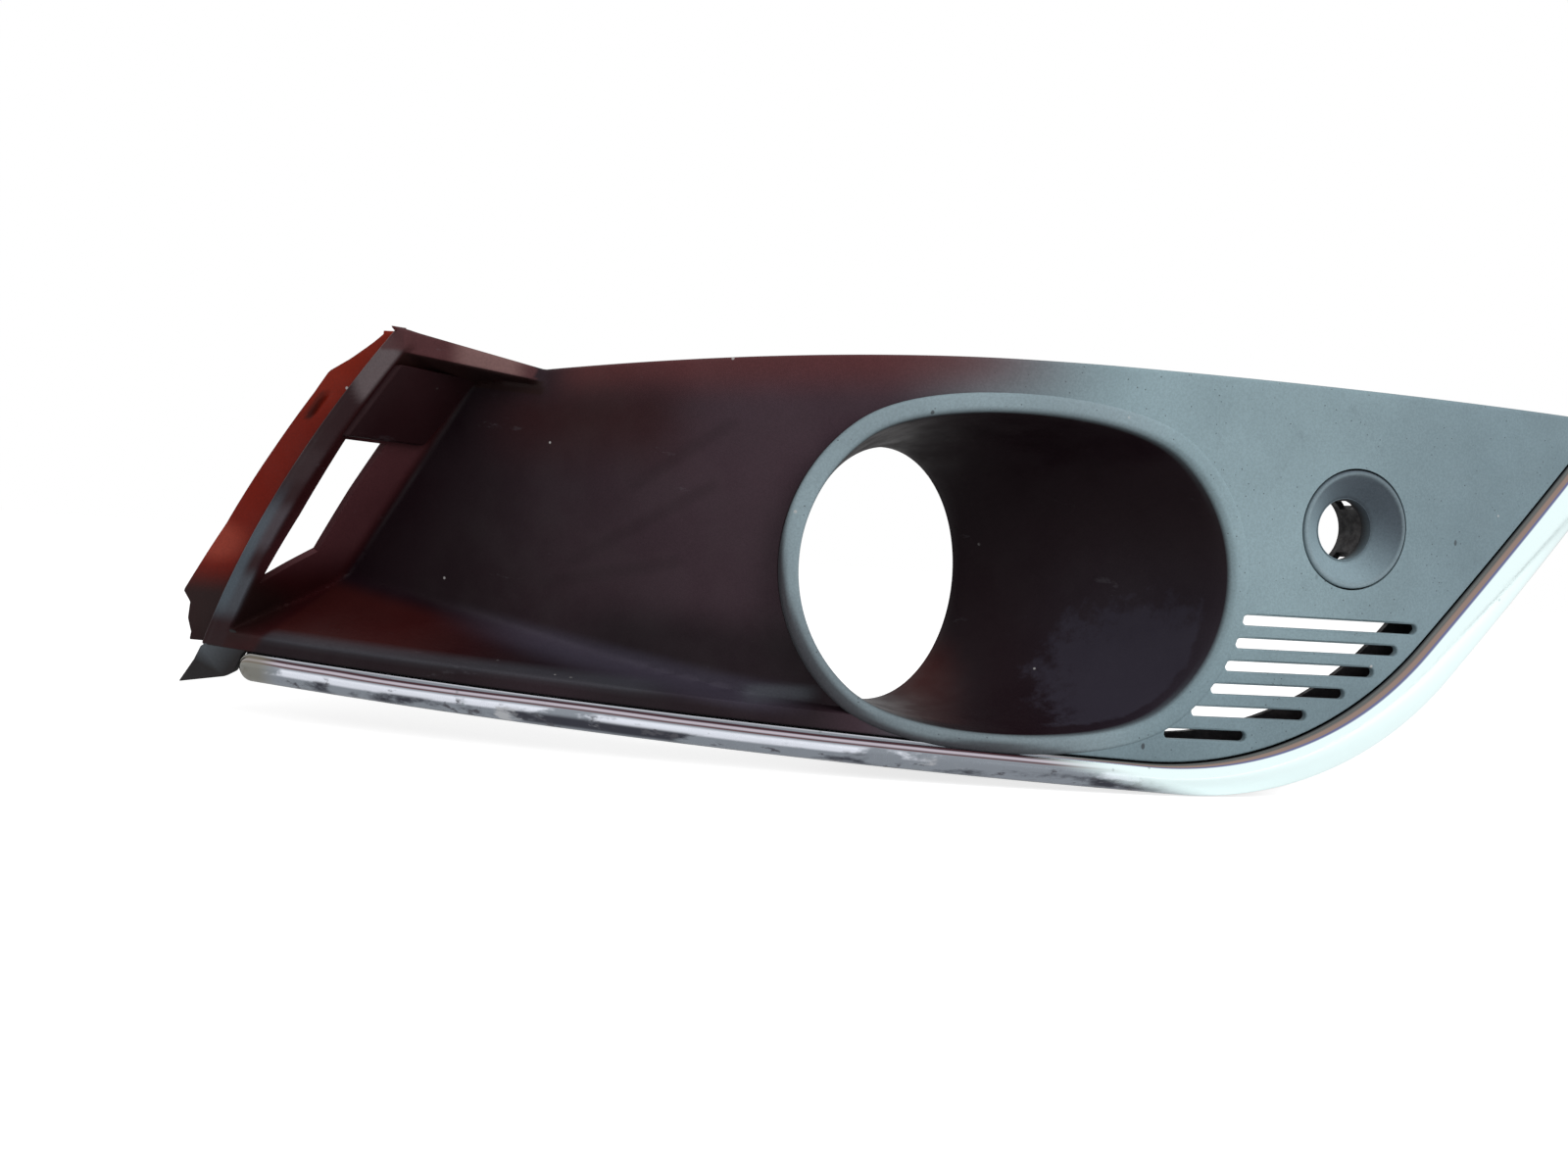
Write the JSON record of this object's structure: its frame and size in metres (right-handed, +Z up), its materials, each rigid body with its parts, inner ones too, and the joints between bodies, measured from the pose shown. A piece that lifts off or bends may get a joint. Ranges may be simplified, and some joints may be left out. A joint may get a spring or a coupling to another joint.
{
  "type": "fog lamp bezel",
  "caption": "Moulded bumper surround for a round fog lamp, with a lamp bowl, a deep air scoop, vent slots, a parking sensor ring and a bright trim strip along its lower and inner edges.",
  "frame": {"origin": "centre of the lamp bore at its front edge", "axes": "+X along the bezel towards its pointed inner end, +Y into the car, +Z up"},
  "size_m": [0.5355, 0.0924, 0.1401],
  "materials": {
    "moulding": "weathered charcoal, fine grain",
    "bright_trim": "polished, dirty along its lower edge",
    "seal": "matt",
    "ring": "satin",
    "holder": "matt",
    "spring_steel": "plated",
    "screw_steel": "plated",
    "insert_brass": "turned"
  },
  "bodies": {
    "root": {"bezel": "moulding", "trim": "bright_trim", "trim_backing": "seal", "sensor_ring": "ring", "sensor_holder": "holder", "push_nut_1": "spring_steel", "push_nut_2": "spring_steel", "push_nut_3": "spring_steel", "push_nut_4": "spring_steel", "push_nut_5": "spring_steel", "push_nut_6": "spring_steel", "lamp_insert_1": "insert_brass", "lamp_insert_2": "insert_brass", "edge_clip_1": "spring_steel", "edge_clip_2": "spring_steel", "edge_clip_3": "spring_steel", "edge_clip_4": "spring_steel", "screw_ear_1": "moulding", "screw_ear_2": "moulding", "screw_nut_1": "spring_steel", "screw_nut_2": "spring_steel", "backing_screw_1": "screw_steel", "backing_screw_2": "screw_steel", "backing_screw_3": "screw_steel"}
  },
  "joints": []
}
